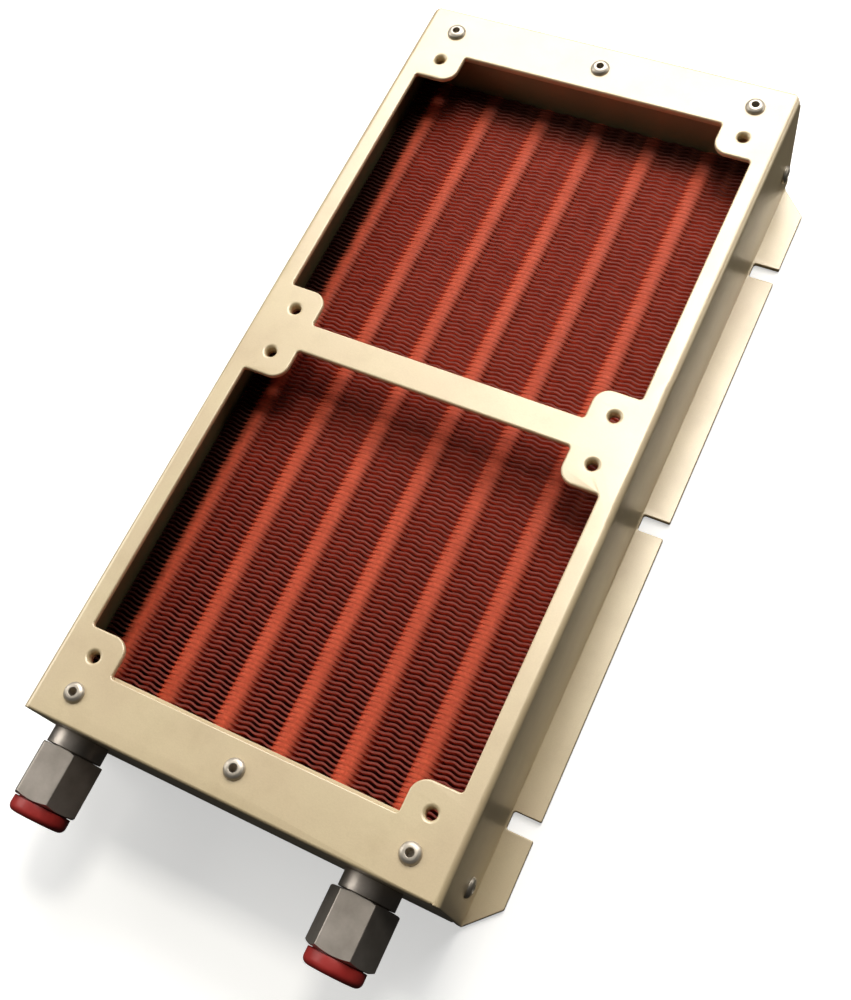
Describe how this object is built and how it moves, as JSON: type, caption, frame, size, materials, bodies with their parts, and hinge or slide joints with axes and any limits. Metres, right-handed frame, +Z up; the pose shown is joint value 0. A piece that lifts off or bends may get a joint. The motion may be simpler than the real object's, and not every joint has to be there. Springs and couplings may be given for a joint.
{
  "type": "liquid cooling radiator",
  "caption": "Flat liquid cooling radiator: folded metal housing with fan windows and mounting flanges, copper tube-and-fin core, capped swivel-nut hose fittings.",
  "frame": {"origin": "middle of the whole part's footprint, on the plane the two mounting flanges stand on", "axes": "+X to the right seen from the fitting end, +Y along the housing away from the fittings, +Z up out of the fan windows"},
  "size_m": [0.1462, 0.2934, 0.0459],
  "materials": {
    "champagne_paint": "satin",
    "copper_fin": "satin",
    "copper_tube": "satin",
    "rivet_metal": "satin",
    "fitting_steel": "satin",
    "red_plastic": "satin"
  },
  "bodies": {
    "radiator": {"housing": "champagne_paint", "tube_sheet_near": "champagne_paint", "tube_sheet_far": "champagne_paint", "fin_pack": "copper_fin", "hairpin_tube_1": "copper_tube", "hairpin_tube_2": "copper_tube", "hairpin_tube_3": "copper_tube", "hairpin_tube_4": "copper_tube", "hairpin_tube_5": "copper_tube", "hairpin_tube_6": "copper_tube", "return_bend_1": "copper_tube", "return_bend_2": "copper_tube", "return_bend_3": "copper_tube", "return_bend_4": "copper_tube", "return_bend_5": "copper_tube", "rivet_top_near_left": "rivet_metal", "rivet_top_near_middle": "rivet_metal", "rivet_top_near_right": "rivet_metal", "rivet_top_far_left": "rivet_metal", "rivet_top_far_middle": "rivet_metal", "rivet_top_far_right": "rivet_metal", "rivet_side_near_left": "rivet_metal", "rivet_side_near_right": "rivet_metal", "rivet_side_far_left": "rivet_metal", "rivet_side_far_right": "rivet_metal", "fitting_body_left": "fitting_steel", "fitting_body_right": "fitting_steel"},
    "nut_left": {"swivel_nut_left": "fitting_steel"},
    "plug_left": {"dust_plug_left": "red_plastic"},
    "nut_right": {"swivel_nut_right": "fitting_steel"},
    "plug_right": {"dust_plug_right": "red_plastic"}
  },
  "joints": [
    {"name": "nut_left_turn", "type": "hinge", "parent": "radiator", "child": "nut_left", "pos_m": [-0.05303, -0.1338, 0.0252], "axis": [0, -1, 0], "continuous": true},
    {"name": "plug_left_pull", "type": "slide", "parent": "nut_left", "child": "plug_left", "axis": [0, -1, 0], "range_m": [0, 0.02]},
    {"name": "nut_right_turn", "type": "hinge", "parent": "radiator", "child": "nut_right", "pos_m": [0.04222, -0.1338, 0.0252], "axis": [0, -1, 0], "continuous": true},
    {"name": "plug_right_pull", "type": "slide", "parent": "nut_right", "child": "plug_right", "axis": [0, -1, 0], "range_m": [0, 0.02]}
  ]
}
